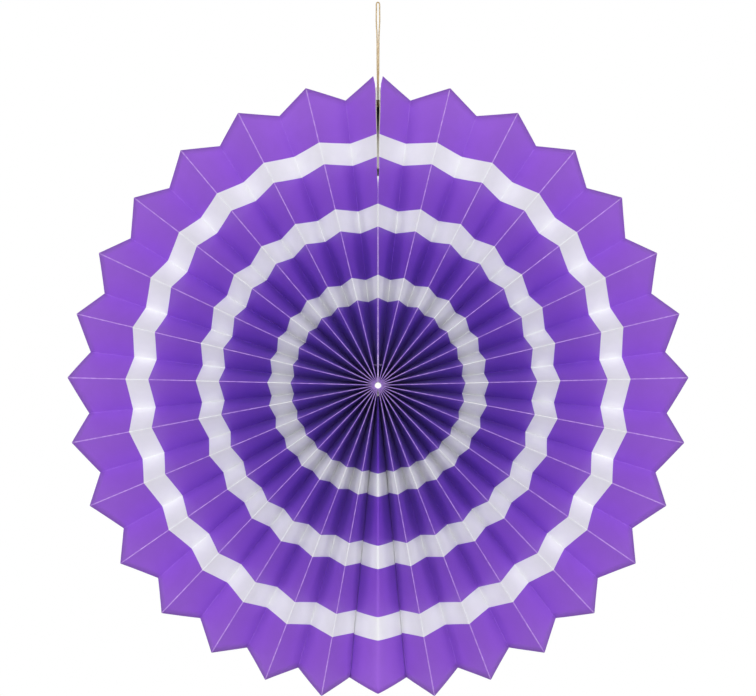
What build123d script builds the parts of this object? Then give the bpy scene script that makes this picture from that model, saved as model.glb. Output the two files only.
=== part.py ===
from build123d import *
import math
import os

# Paper fan rosette: a round hanging decoration folded from printed paper.
#
# Frame: the origin is the centre of the disc, halfway through its depth. +Y is the axis of
# the disc and points to its back, so the printed front faces -Y. +Z points up through the
# seam and the hanging loop, and +X points to the viewer's right.
#
# The disc is two pleated half sheets, left and right. They meet at the seam at the top,
# where each one's last panel is turned straight back and glued to its twin, and at the
# bottom, where a folded joining petal is glued over both. A fold is found by its number:
# 0 is the mountain fold beside the seam, odd numbers are valleys, even ones are mountains,
# and HALF_FOLDS is the mountain at the very bottom. A bearing is the angle from the top.

# Disc
TIP_RADIUS = 200.0          # centre to the point of a mountain fold at the rim
POINT_LENGTH = 9.2          # how far the points stand out past the valley folds
HUB_RADIUS = 2.4            # centre to the inner ends of the panels
HALF_FOLDS = 30             # folds from the seam to the bottom, down one side
RIM_DEPTH = 16.0            # depth of the pleats at the rim, where they are spread widest
PAPER = 0.18                # thickness of the printed paper

VALLEY_RADIUS = TIP_RADIUS - POINT_LENGTH
# From one fold to the next, across the flat paper
PANEL_WIDTH = math.hypot(math.pi * TIP_RADIUS / HALF_FOLDS, RIM_DEPTH)

# How the pleats spread: a little wider near the seam than at the bottom
SPREAD_DEG = 5.4            # how far the folds at mid height lag below even spacing
SPREAD_THIRD_DEG = 0.9      # third harmonic of the same
LEAN_DEG = 0.25             # how far the valleys lean off the middle of their petals
LEAN_SWING_DEG = -0.65      # how that lean changes from the seam to the bottom

# Seam
TAPE = 0.10                 # double-sided tape between the two end panels
TAPE_START = 20.0           # distance of the tape's lower end from the centre
TAPE_OVERLAP = 10.0         # how far its upper end reaches in between the boards
TAPE_INSET = 3.0            # the tape's edges stay this far inside the end panels' edges
GLUE = 0.06                 # glue line between pieces that are stuck together
BOARD = 0.60                # thickness of an end board
BOARD_LENGTH = 53.0         # length of an end board
BOARD_SETBACK = 7.0         # how far a board's upper end lies below the points of the rim
BOARD_INSET = 0.8           # how far a board's edges stay inside the end panel's edges
BOARD_STEP = 12.0           # length over which an end panel steps out around its board
FLARE = 0.90                # how far each board bends away from the seam at its upper end
FLARE_REST = 9.0            # length of board above the bend
TIP_FLARE = 1.50            # how much further the loose tip of the paper curls out
PAD_SETBACK = 4.0           # how far the foam pad's upper end lies below the boards' ends
PAD_RUN_OUT = 4.0           # distance from the tape's upper end to the pad's thin end
PAD_FRONT = 3.0             # how far the pad's front edge lies behind the middle plane
PAD_WIDTH = 8.0             # its width from front to back

BOARD_END = TIP_RADIUS - BOARD_SETBACK
BOARD_START = BOARD_END - BOARD_LENGTH
TAPE_END = BOARD_START + TAPE_OVERLAP
FLARE_START = TAPE_END
FLARE_END = BOARD_END - FLARE_REST
PAD_START = TAPE_END + PAD_RUN_OUT
PAD_END = BOARD_END - PAD_SETBACK

# Bottom petal
PETAL_SETBACK = 5.0         # how far its ridge lies behind the other mountain folds
PETAL_START = 7.0           # distance of its inner end from the centre
PETAL_SHORT = 3.2           # how much shorter its point is than the others
PETAL_EDGE = 0.15           # clearance of its long edges from the facing panels
FLAP_SHARE = 0.55           # the part of a panel's width that the glued flaps cover

PETAL_TIP_RADIUS = TIP_RADIUS - PETAL_SHORT

# Threads
HUB_THREAD_RADIUS = 5.0     # radius of the ring of thread that gathers the pleats
HUB_THREAD_DEPTH = 2.0      # how far that ring lies behind the middle plane
HUB_THREAD = 0.5            # its diameter
THREAD_CLEARANCE = 0.10     # gap between a thread and the edge of its holes
STITCH_HEIGHT = 13.0        # distance of the seam stitch from the centre
STITCH_DEPTH = 3.4          # how far it lies behind the seam's front folds
STITCH = 0.5                # its diameter

# Hanging loop
CORD = 0.9                  # diameter of the cord
KNOT_SETBACK = 8.3          # how far the knot's middle lies below the boards' upper ends
KNOT_DIAMETER = 2.7
KNOT_LENGTH = 2.6
KNOT_ROUNDING = 0.35
KNOT_CLEARANCE = 0.5        # gap between the knot and the edge of its hole in the boards

KNOT_HEIGHT = BOARD_END - KNOT_SETBACK
LOOP_BASE = KNOT_HEIGHT + KNOT_LENGTH / 2

# Control points of the cord, from the knot up one side, round the top and down the other.
# Their heights are above the knot.
LOOP_ROUTE = [
    (0.00, 0.50, 0.0),
    (-0.03, 0.53, 5.9),
    (-0.28, 0.44, 13.3),
    (-0.50, 0.14, 23.4),
    (-0.51, -0.03, 34.6),
    (-0.60, 0.02, 45.2),
    (-1.08, 0.05, 52.7),
    (-1.16, 0.00, 58.5),
    (-1.02, 0.00, 63.3),
    (-1.10, 0.00, 67.6),
    (1.10, 0.00, 67.6),
    (1.02, 0.00, 63.3),
    (1.16, 0.00, 58.5),
    (1.08, -0.05, 52.7),
    (0.60, -0.02, 45.2),
    (0.51, 0.03, 34.6),
    (0.50, -0.14, 23.4),
    (0.28, -0.44, 13.3),
    (0.03, -0.53, 5.9),
    (0.00, -0.50, 0.0),
]

# Where along a fold its curve is pinned, as shares of its length. They crowd together at
# the hub, where the folds close up, and at the seam where the end panels step round the
# boards and flare.
HUB_SHARES = [0.0, 0.004, 0.01, 0.022, 0.045, 0.10, 0.22, 0.40, 0.60, 0.80, 1.0]
STEP_PINS = [-2.4, -1.25, -0.9, -0.6, -0.25, 0.1, 0.4]     # in steps from BOARD_START
FLARE_PINS = [0.14, 0.28, 0.42, 0.57, 0.71, 0.82, 0.91, 1.0]     # shares of what is left

STEP_SHARES = [(BOARD_START + pin * BOARD_STEP - HUB_RADIUS) / (TIP_RADIUS - HUB_RADIUS)
               for pin in STEP_PINS]
FLARE_SHARES = [STEP_SHARES[-1] + (1 - STEP_SHARES[-1]) * pin for pin in FLARE_PINS]
SEAM_SHARES = HUB_SHARES[:8] + STEP_SHARES + FLARE_SHARES


def ramp(value, start, end):
    """Rise smoothly from 0 at start to 1 at end."""
    share = min(max((value - start) / (end - start), 0.0), 1.0)
    return share * share * (3 - 2 * share)


def is_valley(fold):
    return fold % 2 == 1


def bearing(fold):
    """Angle of a fold from the top, in radians."""
    turn = math.pi * fold / HALF_FOLDS
    degrees = 180 * fold / HALF_FOLDS
    degrees += SPREAD_DEG * math.sin(turn) + SPREAD_THIRD_DEG * math.sin(3 * turn)
    if is_valley(fold):
        degrees += LEAN_DEG + LEAN_SWING_DEG * math.cos(2 * turn)
    return math.radians(degrees)


def seam_face(radius):
    """Distance of an end panel's glued face from the middle of the seam."""
    face = TAPE / 2 + GLUE / 2
    face += (BOARD + GLUE) * ramp(radius, BOARD_START - BOARD_STEP, BOARD_START - 1)
    face += FLARE * ramp(radius, FLARE_START, FLARE_END)
    face += TIP_FLARE * ramp(radius, BOARD_END, TIP_RADIUS)
    return face


def fold_position(fold, radius):
    """Middle of the paper at a fold: (distance round the arc from the top, depth).

    The end panels at the seam take up a little of the circle, and the folds share the rest."""
    if fold == 0:
        return seam_face(radius) + PAPER / 2, -PANEL_WIDTH / 2
    taken = (TAPE + GLUE + PAPER) / 2
    arc = taken + (radius - taken / math.pi) * bearing(fold)
    if fold == HALF_FOLDS:
        opening = radius * (bearing(fold) - bearing(fold - 1))
    else:
        opening = radius * (bearing(fold + 1) - bearing(fold - 1)) / 2
    depth = math.sqrt(PANEL_WIDTH**2 - opening**2)
    if fold == HALF_FOLDS:
        return arc, PETAL_SETBACK - depth / 2
    return arc, depth / 2 if is_valley(fold) else -depth / 2


def skin(fold, radius, offset):
    """One side of the panel after a fold, as (arc at depth 0, arc gained per depth).

    A positive offset lies towards the front of the paper."""
    arc_0, depth_0 = fold_position(fold, radius)
    arc_1, depth_1 = fold_position(fold + 1, radius)
    slope = (arc_1 - arc_0) / (depth_1 - depth_0)
    side = 1 if depth_1 > depth_0 else -1
    shift = side * offset * math.hypot(1, slope)
    return arc_0 - slope * depth_0 + shift, slope


def crossing(first, second):
    """Where two skins meet, as (arc, depth)."""
    depth = (second[0] - first[0]) / (first[1] - second[1])
    return first[0] + first[1] * depth, depth


def at_depth(line, depth):
    return line[0] + line[1] * depth, depth


def rim_radius(fold):
    return VALLEY_RADIUS if is_valley(fold) else TIP_RADIUS


def place(arc, depth, radius):
    """Point in space for a place round the arc and in depth, at a distance from the centre."""
    angle = arc / radius
    return Vector(radius * math.sin(angle), depth, radius * math.cos(angle))


class Track:
    """One long edge of a folded sheet, running from the hub to the rim."""

    def __init__(self, points, shares):
        self.points = points
        self.shares = shares
        self.curve = Edge.make_spline(points, parameters=shares)
        self.ends = [points[0], points[-1]]

    @classmethod
    def along(cls, section, start, end, shares=HUB_SHARES):
        """A track whose section gives (arc, depth) at each distance from the centre."""
        radii = [start + share * (end - start) for share in shares]
        return cls([place(*section(radius), radius) for radius in radii], shares)

    def towards(self, other, share):
        """A track that lies part of the way from this one to another."""
        pairs = zip(self.points, other.points)
        return Track([here + (there - here) * share for here, there in pairs], self.shares)


def sheet_solid(front, back, cells):
    """Close a sheet from its front tracks, its back tracks and the cells of its cut ends."""
    ring = front + back[::-1]
    faces = []
    for index, track in enumerate(ring):
        faces.append(Face.make_surface_from_curves(ring[index - 1].curve, track.curve))
    for end in (0, 1):
        for cell in cells:
            corners = [track.ends[end] for track in cell]
            if len(corners) == 3:
                faces.append(Face(Wire.make_polygon(corners)))
            else:
                near = Edge.make_line(corners[0], corners[1])
                far = Edge.make_line(corners[3], corners[2])
                faces.append(Face.make_surface_from_curves(near, far))
    solid = Solid(Shell(faces))
    return solid if solid.volume > 0 else Solid(solid.wrapped.Reversed())


def half_sheet():
    """The right-hand pleated sheet, from its end panel at the seam to its glue flap."""
    half = PAPER / 2

    def track(section, fold):
        shares = SEAM_SHARES if fold < 2 else HUB_SHARES
        return Track.along(section, HUB_RADIUS, rim_radius(fold), shares)

    def corner(fold, offset):
        """Where the skins of the two panels at a fold meet, on the fold's inner side."""
        return track(
            lambda r: crossing(skin(fold - 1, r, offset), skin(fold, r, offset)), fold)

    def nose(fold, panel, offset):
        """Where a panel's skin ends, on the outer side of a fold."""
        return track(
            lambda r: at_depth(skin(panel, r, offset), fold_position(fold, r)[1]), fold)

    def seam_line(offset, depth, fold):
        return track(lambda r: (seam_face(r) + offset, depth), fold)

    # The end panel runs straight back from fold 0, with its glued face towards the seam.
    front = [seam_line(0, PANEL_WIDTH / 2, 1), seam_line(0, -PANEL_WIDTH / 2, 0),
             nose(0, 0, half)]
    back = [seam_line(PAPER, PANEL_WIDTH / 2, 1),
            track(lambda r: crossing((seam_face(r) + PAPER, 0), skin(0, r, -half)), 0)]
    cells = [[front[0], front[1], back[1], back[0]], [front[1], front[2], back[1]]]
    for fold in range(1, HALF_FOLDS):
        start = [front[-1], back[-1]]
        if is_valley(fold):
            inner = corner(fold, half)
            outer = [nose(fold, fold - 1, -half), nose(fold, fold, -half)]
            front.append(inner)
            back += outer
            cells.append([start[0], inner, outer[0], start[1]])
        else:
            inner = corner(fold, -half)
            outer = [nose(fold, fold - 1, half), nose(fold, fold, half)]
            front += outer
            back.append(inner)
            cells.append([start[0], outer[0], inner, start[1]])
        cells.append([outer[0], outer[1], inner])

    # The last panel is cut short: it is the flap that the joining petal is glued over.
    def flap_edge(offset):
        last = HALF_FOLDS - 1
        root = nose(last, last, offset)
        ridge = Track.along(
            lambda r: at_depth(skin(last, r, offset), fold_position(HALF_FOLDS, r)[1]),
            HUB_RADIUS, PETAL_TIP_RADIUS)
        return root.towards(ridge, FLAP_SHARE)

    flap = [flap_edge(half), flap_edge(-half)]
    cells.append([front[-1], flap[0], flap[1], back[-1]])
    front.append(flap[0])
    back.append(flap[1])
    return sheet_solid(front, back, cells)


def joining_petal():
    """The folded strip that joins the two half sheets at the bottom."""
    last = HALF_FOLDS - 1
    back_offset = PAPER / 2 + GLUE
    front_offset = back_offset + PAPER

    def edge(offset):
        def section(radius):
            facing = skin(last - 1, radius, PAPER / 2 + PETAL_EDGE)
            corner = crossing(facing, skin(last, radius, front_offset))
            return at_depth(skin(last, radius, offset), corner[1])
        return section

    def ridge_front(radius):
        depth = fold_position(HALF_FOLDS, radius)[1] - back_offset
        return at_depth(skin(last, radius, front_offset), depth)

    def ridge_back(radius):
        middle = (math.pi * radius, 0)
        return crossing(middle, skin(last, radius, back_offset))

    def mirrored(section):
        return lambda radius: (2 * math.pi * radius - section(radius)[0], section(radius)[1])

    def track(section, end):
        return Track.along(section, PETAL_START, end)

    front = [
        track(edge(front_offset), VALLEY_RADIUS),
        track(ridge_front, PETAL_TIP_RADIUS),
        track(mirrored(ridge_front), PETAL_TIP_RADIUS),
        track(mirrored(edge(front_offset)), VALLEY_RADIUS),
    ]
    back = [
        track(edge(back_offset), VALLEY_RADIUS),
        track(ridge_back, PETAL_TIP_RADIUS),
        track(mirrored(edge(back_offset)), VALLEY_RADIUS),
    ]
    cells = [
        [front[0], front[1], back[1], back[0]],
        [front[1], front[2], back[1]],
        [front[2], front[3], back[2], back[1]],
    ]
    return sheet_solid(front, back, cells)


def end_board():
    """The right-hand stiffening board, glued inside the seam's end panel."""
    steps = 12
    outer, inner = [], []
    for step in range(steps + 1):
        height = BOARD_START + (BOARD_END - BOARD_START) * step / steps
        face = seam_face(height) - GLUE
        outer.append(Vector(face, 0, height))
        inner.append(Vector(face - BOARD, 0, height))
    outline = Wire([
        Edge.make_spline(outer),
        Edge.make_line(outer[-1], inner[-1]),
        Edge.make_spline(inner[::-1]),
        Edge.make_line(inner[0], outer[0]),
    ])
    width = PANEL_WIDTH - 2 * BOARD_INSET
    board = extrude(Face(outline), amount=width / 2, dir=(0, 1, 0), both=True)
    hole = Cylinder(KNOT_DIAMETER / 2 + KNOT_CLEARANCE, 4 * (BOARD + FLARE + GLUE))
    return board - hole.rotate(Axis.Y, 90).moved(Location((0, 0, KNOT_HEIGHT)))


def seam_tape():
    """The double-sided strip that closes the seam."""
    width = PANEL_WIDTH - 2 * TAPE_INSET
    tape = Box(TAPE, width, TAPE_END - TAPE_START)
    return tape.moved(Location((0, 0, (TAPE_START + TAPE_END) / 2)))


def seam_pad():
    """The foam wedge behind the knot that fills the gap where the boards flare apart."""
    steps = 12
    side = []
    for step in range(steps + 1):
        height = PAD_START + (PAD_END - PAD_START) * step / steps
        side.append(Vector(seam_face(height) - GLUE - BOARD - GLUE, 0, height))
    other = [Vector(-point.X, 0, point.Z) for point in side]
    outline = Wire([
        Edge.make_spline(side),
        Edge.make_line(side[-1], other[-1]),
        Edge.make_spline(other[::-1]),
        Edge.make_line(other[0], side[0]),
    ])
    pad = extrude(Face(outline), amount=PAD_WIDTH, dir=(0, 1, 0))
    return pad.moved(Location((0, PAD_FRONT, 0)))


def hub_ring(diameter):
    ring = Torus(HUB_THREAD_RADIUS, diameter / 2)
    return ring.rotate(Axis.X, 90).moved(Location((0, HUB_THREAD_DEPTH, 0)))


def stitch_reach():
    """Distance from the middle to the far side of the panels that the stitch holds."""
    depth = STITCH_DEPTH - PANEL_WIDTH / 2
    return at_depth(skin(1, STITCH_HEIGHT, -PAPER / 2), depth)[0] + THREAD_CLEARANCE


def seam_stitch(diameter):
    """The short thread that pins the first pleats on both sides of the seam together."""
    rod = Cylinder(diameter / 2, 2 * stitch_reach()).rotate(Axis.Y, 90)
    return rod.moved(Location((0, STITCH_DEPTH - PANEL_WIDTH / 2, STITCH_HEIGHT)))


def turn_radii(points):
    """The radius for each corner of a cord's route: as large as its two runs allow."""
    radii = []
    for before, corner, after in zip(points, points[1:], points[2:]):
        turn = math.radians((corner - before).get_angle(after - corner))
        shorter = min((corner - before).length, (after - corner).length)
        radii.append(0.45 * shorter / math.tan(turn / 2))
    return radii


def hanging_loop():
    """The loop of cord that the rosette hangs from."""
    points = [Vector(x, y, LOOP_BASE + height) for x, y, height in LOOP_ROUTE]
    radii = turn_radii(points)
    print("loop radii", [round(radius, 1) for radius in radii])
    path = FilletPolyline(*points, radius=radii)
    start = Plane(origin=path @ 0, z_dir=path % 0)
    loop = sweep(start * Circle(CORD / 2), path=path)
    expected = math.pi * CORD**2 / 4 * path.length
    print(f"loop length {path.length:.1f}, volume {loop.volume:.2f}, expected {expected:.2f}")
    return loop


def loop_knot():
    """The overhand knot that holds the loop in the holes of the two boards."""
    knot = Cylinder(KNOT_DIAMETER / 2, KNOT_LENGTH)
    knot = fillet(knot.edges().filter_by(GeomType.CIRCLE), KNOT_ROUNDING)
    return knot.moved(Location((0, 0, KNOT_HEIGHT)))


def build():
    right_sheet = half_sheet()
    right_sheet -= hub_ring(HUB_THREAD + 2 * THREAD_CLEARANCE)
    right_sheet -= seam_stitch(STITCH + 2 * THREAD_CLEARANCE)
    right_board = end_board()
    pieces = {
        "right_half_sheet": right_sheet,
        "left_half_sheet": mirror(right_sheet, about=Plane.YZ),
        "joining_petal": joining_petal(),
        "right_end_board": right_board,
        "left_end_board": mirror(right_board, about=Plane.YZ),
        "seam_tape": seam_tape(),
        "seam_pad": seam_pad(),
        "hub_thread": hub_ring(HUB_THREAD),
        "seam_stitch": seam_stitch(STITCH),
        "hanging_loop": hanging_loop(),
        "loop_knot": loop_knot(),
    }
    os.makedirs("parts", exist_ok=True)
    for name, piece in pieces.items():
        export_step(piece, f"parts/{name}.step")


build()
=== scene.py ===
"""Looks of the paper fan rosette: two pleated half sheets, the petal that joins them, the
boards, tape and pad in the seam, the threads at the hub and the loop that it hangs from.

Lengths are in metres. The centre of the disc is the origin, -Y is the printed front and +Z
points up through the seam. A fold is found by its number: 0 is the mountain fold beside the
seam, odd numbers are valleys, even ones are mountains, and the last is the bottom of the
disc. A panel has the number of the fold that it starts from, so the end panel in the seam
is panel -1.
"""

import math

import bmesh
import bpy
from bpy.props import (
    FloatProperty, FloatVectorProperty, IntProperty, PointerProperty,
)
from bpy.types import Operator, Panel, PropertyGroup
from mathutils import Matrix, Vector


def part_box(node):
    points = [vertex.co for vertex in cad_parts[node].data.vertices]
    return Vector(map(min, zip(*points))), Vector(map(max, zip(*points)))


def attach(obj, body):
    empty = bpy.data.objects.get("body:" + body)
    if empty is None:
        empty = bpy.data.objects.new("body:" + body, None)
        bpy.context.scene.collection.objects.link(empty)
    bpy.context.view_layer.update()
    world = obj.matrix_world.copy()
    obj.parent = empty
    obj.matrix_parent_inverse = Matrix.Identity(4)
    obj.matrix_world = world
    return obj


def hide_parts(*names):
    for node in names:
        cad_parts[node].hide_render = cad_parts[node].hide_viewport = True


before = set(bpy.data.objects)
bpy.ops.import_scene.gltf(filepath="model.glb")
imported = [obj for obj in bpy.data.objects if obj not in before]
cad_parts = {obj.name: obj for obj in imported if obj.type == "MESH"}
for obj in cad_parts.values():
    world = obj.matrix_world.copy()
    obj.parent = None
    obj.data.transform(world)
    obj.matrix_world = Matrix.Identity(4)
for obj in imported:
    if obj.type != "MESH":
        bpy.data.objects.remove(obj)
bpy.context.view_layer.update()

bl_info = {
    "name": "Paper Fan Rosette",
    "version": (1, 0, 0),
    "blender": (4, 5, 0),
    "location": "3D View > Sidebar > Rosette",
    "description": "Builds the looks of a pleated paper fan rosette with a hanging loop",
    "category": "Object",
}

MM = 0.001
CORD_FULLNESS = 1.15        # the cord is laid this much wider, as its strands lie loose
KNOT_TIGHTNESS = 0.86       # and this much thinner where it is pulled tight in the knot
NO_CREASE = 0.02            # a distance to the nearest fold that is too far for any wear
RIDGE_REACH = 0.003         # how far the petal's arch may stand in front of its flaps' fold
UNWORN_FROM, UNWORN_TO = 0.110, 0.135       # where the wear fades out along the seam's fold
HUB_VIOLET_TO, RIM_VIOLET_FROM = 0.020, 0.190   # up to where the violet is darkest, near the hub, and from where it is lightest, near the rim

# Control points of the hanging loop, from the knot up one side, round the top and down the
# other, in millimetres. Heights are above the knot.
LOOP_ROUTE = [
    (0.00, 0.50, 0.0),
    (-0.03, 0.53, 5.9),
    (-0.28, 0.44, 13.3),
    (-0.50, 0.14, 23.4),
    (-0.51, -0.03, 34.6),
    (-0.60, 0.02, 45.2),
    (-1.08, 0.05, 52.7),
    (-1.16, 0.00, 58.5),
    (-1.02, 0.00, 63.3),
    (-1.10, 0.00, 67.6),
    (1.10, 0.00, 67.6),
    (1.02, 0.00, 63.3),
    (1.16, 0.00, 58.5),
    (1.08, -0.05, 52.7),
    (0.60, -0.02, 45.2),
    (0.51, 0.03, 34.6),
    (0.50, -0.14, 23.4),
    (0.28, -0.44, 13.3),
    (0.03, -0.53, 5.9),
    (0.00, -0.50, 0.0),
]


# ---------------------------------------------------------------- sizes and colours

def length(name, description, default):
    return FloatProperty(name=name, description=description, default=default * MM,
                         precision=5, subtype="DISTANCE", unit="LENGTH")


def angle(name, description, default):
    return FloatProperty(name=name, description=description, default=math.radians(default),
                         precision=5, subtype="ANGLE", unit="ROTATION")


def share(name, description, default):
    return FloatProperty(name=name, description=description, default=default,
                         min=0.0, max=1.0, subtype="FACTOR")


def colour(name, description, default):
    return FloatVectorProperty(name=name, description=description, default=default,
                               min=0.0, max=1.0, size=3, subtype="COLOR")


class RosetteSheetSizes(PropertyGroup):
    """Sizes that the pleated sheets are worked out from."""

    tip_radius: length("Tip radius", "Centre to the point of a mountain fold", 200.0)
    point_length: length("Point length", "How far the points pass the valley folds", 9.2)
    hub_radius: length("Hub radius", "Centre to the inner ends of the panels", 2.15)
    rim_depth: length("Rim depth", "Depth of the pleats at the rim", 16.0)
    paper: length("Paper", "Thickness of the printed paper", 0.18)
    spread: angle("Spread", "How far the folds at mid height lag", 5.4)
    spread_third: angle("Spread, third", "Third harmonic of the spread", 0.9)
    lean: angle("Lean", "How far valleys lean off the middle of their petals", 0.25)
    lean_swing: angle("Lean swing", "Change of the lean from seam to bottom", -0.65)
    wander: angle("Wander", "How far single folds stray from their rule", 0.12)
    tape: length("Tape", "Thickness of the tape in the seam", 0.10)
    glue: length("Glue", "Thickness of a glue line", 0.06)
    board: length("Board", "Thickness of an end board", 0.60)
    board_start: length("Board start", "Centre to the lower end of a board", 140.0)
    board_end: length("Board end", "Centre to the upper end of a board", 193.0)
    board_step: length("Board step", "Length of the end panel's step round a board", 12.0)
    flare: length("Flare", "How far a board bends away from the seam", 0.90)
    flare_start: length("Flare start", "Centre to the start of that bend", 150.0)
    flare_end: length("Flare end", "Centre to the end of that bend", 184.0)
    tip_flare: length("Tip flare", "How far the loose paper tip curls out", 1.5)
    petal_setback: length("Petal setback", "How far the bottom petal lies back", 5.0)
    petal_start: length("Petal start", "Centre to the bottom petal's inner end", 7.0)
    petal_short: length("Petal short", "How much shorter its point is", 3.2)
    petal_edge: length("Petal edge", "Gap along the bottom petal's long edges", 0.15)
    flap_share: share("Flap share", "Part of a panel's width left as glue flap", 0.55)
    nose: length("Nose", "Half width of the paper's bend at a fold", 0.17)
    curl: length("Curl", "Bow across a panel at the rim", 0.30)


class RosetteSheetCounts(PropertyGroup):
    """Counts for the pleated sheets."""

    half_folds: IntProperty(name="Half folds", description="Folds down one side",
                            default=30, min=4)
    panel_columns: IntProperty(name="Panel columns", description="Faces across a panel",
                               default=18, min=4)
    rows: IntProperty(name="Rows", description="Points along a fold", default=64, min=8)
    seed: IntProperty(name="Seed", description="Seed of the small irregularities",
                      default=7)


class RosettePrint(PropertyGroup):
    """Where the pale rings are printed, and the colours of every piece."""

    ring_1: length("First ring", "Centre to the inner edge of the first ring", 55.95)
    ring_2: length("Second ring", "Centre to the inner edge of the second ring", 101.95)
    ring_3: length("Third ring", "Centre to the inner edge of the third ring", 147.37)
    ring_width: length("Ring width", "Width of the printed rings", 14.8)
    petal_shift: length("Petal shift", "How far the bottom petal's rings sit out", 0.7)
    violet: colour("Violet ink", "Printed colour near the rim", (0.300, 0.098, 0.660))
    # The violet is drawn darker towards the hub than at the rim.
    deep_violet: colour("Deep violet ink", "Violet near the hub",
                        (0.115, 0.013, 0.500))
    white: colour("White paper", "Colour of the rings and cut edges", (0.86, 0.86, 0.89))
    worn: colour("Worn crease", "Colour where ink has cracked at a fold",
                 (0.62, 0.40, 0.86))
    card: colour("Grey board", "Colour of the end boards", (0.50, 0.47, 0.41))
    tape: colour("Tape", "Colour of the double-sided tape", (0.62, 0.58, 0.46))
    # The pad's colour is painted shade: near black, for the dark gap between the boards.
    foam: colour("Foam", "Colour of the pad between the boards", (0.03, 0.03, 0.035))
    thread: colour("Thread", "Colour of the sewing thread", (0.52, 0.38, 0.70))
    cord_light: colour("Cord, light", "Pale strands of the cord", (0.80, 0.66, 0.42))
    cord_dark: colour("Cord, dark", "Darker strands of the cord", (0.48, 0.31, 0.12))


class RosetteCord(PropertyGroup):
    """Sizes of the hanging loop, its knot and the threads."""

    diameter: length("Cord diameter", "Diameter of the cord", 0.9)
    lay: length("Cord lay", "Length of one turn of the cord's strands", 3.4)
    knot_height: length("Knot height", "Centre to the middle of the knot", 184.7)
    knot_length: length("Knot length", "Length of the knot", 2.6)
    knot_diameter: length("Knot diameter", "Diameter of the knot", 2.7)
    thread: length("Thread diameter", "Diameter of the sewing thread", 0.5)
    thread_lay: length("Thread lay", "Length of one turn of the thread's strands", 1.6)
    hub_ring: length("Hub ring", "Radius of the ring of thread at the hub", 5.0)
    hub_depth: length("Hub ring depth", "How far that ring lies back", 2.0)
    stitch_height: length("Stitch height", "Centre to the seam stitch", 13.0)
    stitch_depth: length("Stitch depth", "Seam's front folds to the stitch", 3.4)


class RosetteStage(PropertyGroup):
    """The camera, the lamps and the floor."""

    distance: length("Camera distance", "Camera to the disc", 722.0)
    height: length("Camera height", "Camera height against the hub", -12.1)
    pitch: angle("Camera pitch", "How far the camera looks up", 2.89)
    lens: FloatProperty(name="Lens", description="Focal length in millimetres",
                        default=52.8, min=10.0)
    front: FloatProperty(name="Front lamp", description="Power of the front softbox",
                         default=15.0, unit="POWER")
    top: FloatProperty(name="Top lamp", description="Power of the softbox above",
                       default=6.0, unit="POWER")
    side: FloatProperty(name="Side lamps", description="Power of each side softbox",
                        default=9.5, unit="POWER")
    world: FloatProperty(name="Ambient", description="Strength of the ambient light",
                         default=0.25, min=0.0)
    floor_drop: length("Floor drop", "Hub to the floor below", 620.0)


# ---------------------------------------------------------------- node helpers

def feed(tree, value, socket):
    """Wire a field to a socket, or set a plain value on it."""
    if isinstance(value, Field):
        tree.links.new(value.socket, socket)
    elif isinstance(value, bpy.types.NodeSocket):
        tree.links.new(value, socket)
    else:
        socket.default_value = value


def add(tree, kind, inputs=None, **settings):
    """Add a node, set its options and feed its inputs, which go by name or number."""
    node = tree.nodes.new(kind)
    for name, value in settings.items():
        setattr(node, name, value)
    for name, value in (inputs or {}).items():
        if isinstance(name, int):
            socket = node.inputs[name]
        else:
            socket = next(s for s in node.inputs if s.name == name and s.enabled)
        feed(tree, value, socket)
    return node


def shown(node, name):
    """The output of that name that the node's options leave in use."""
    return next(s for s in node.outputs if s.name == name and s.enabled)


class Field:
    """A number in a node tree, so that a tree is written as the sums that it does."""

    def __init__(self, tree, socket):
        self.tree = tree
        self.socket = socket

    def __add__(self, other):
        return maths(self.tree, "ADD", self, other)

    def __sub__(self, other):
        return maths(self.tree, "SUBTRACT", self, other)

    def __mul__(self, other):
        return maths(self.tree, "MULTIPLY", self, other)

    def __truediv__(self, other):
        return maths(self.tree, "DIVIDE", self, other)

    def __rsub__(self, other):
        return maths(self.tree, "SUBTRACT", other, self)

    def __rtruediv__(self, other):
        return maths(self.tree, "DIVIDE", other, self)

    def __pow__(self, other):
        return maths(self.tree, "POWER", self, other)

    def __neg__(self):
        return self * -1

    __radd__ = __add__
    __rmul__ = __mul__


def maths(tree, operation, *values):
    node = add(tree, "ShaderNodeMath", dict(enumerate(values)), operation=operation)
    return Field(tree, node.outputs[0])


def unary(operation):
    return lambda field: maths(field.tree, operation, field)


sine = unary("SINE")
cosine = unary("COSINE")
root = unary("SQRT")
floor = unary("FLOOR")
magnitude = unary("ABSOLUTE")
exponential = unary("EXPONENT")


def least(field, other):
    return maths(field.tree, "MINIMUM", field, other)


def most(field, other):
    return maths(field.tree, "MAXIMUM", field, other)


def remainder(field, divisor):
    return maths(field.tree, "FLOORED_MODULO", field, divisor)


def is_over(field, limit):
    return maths(field.tree, "GREATER_THAN", field, limit)


def ramp(field, start, end):
    """Rise smoothly from 0 at start to 1 at end."""
    risen = least(most((field - start) / (end - start), 0.0), 1.0)
    return risen * risen * (3 - 2 * risen)


def mix(first, second, amount):
    return first + (second - first) * amount


def hypotenuse(first, second):
    return root(first * first + second * second)


def group_inputs(tree, sizes, names, kind="NodeSocketFloat"):
    """Give a tree one input for each named property, and return the sockets by property."""
    sockets = {}
    for name in names:
        made = tree.interface.new_socket(
            name=name.replace("_", " ").capitalize(), in_out="INPUT", socket_type=kind)
        made.default_value = getattr(sizes, name)
        sockets[name] = made
    return sockets


def place_on_modifier(modifier, sockets, sizes):
    for name, socket in sockets.items():
        modifier[socket.identifier] = getattr(sizes, name)


# ---------------------------------------------------------------- pleated sheets

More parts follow.
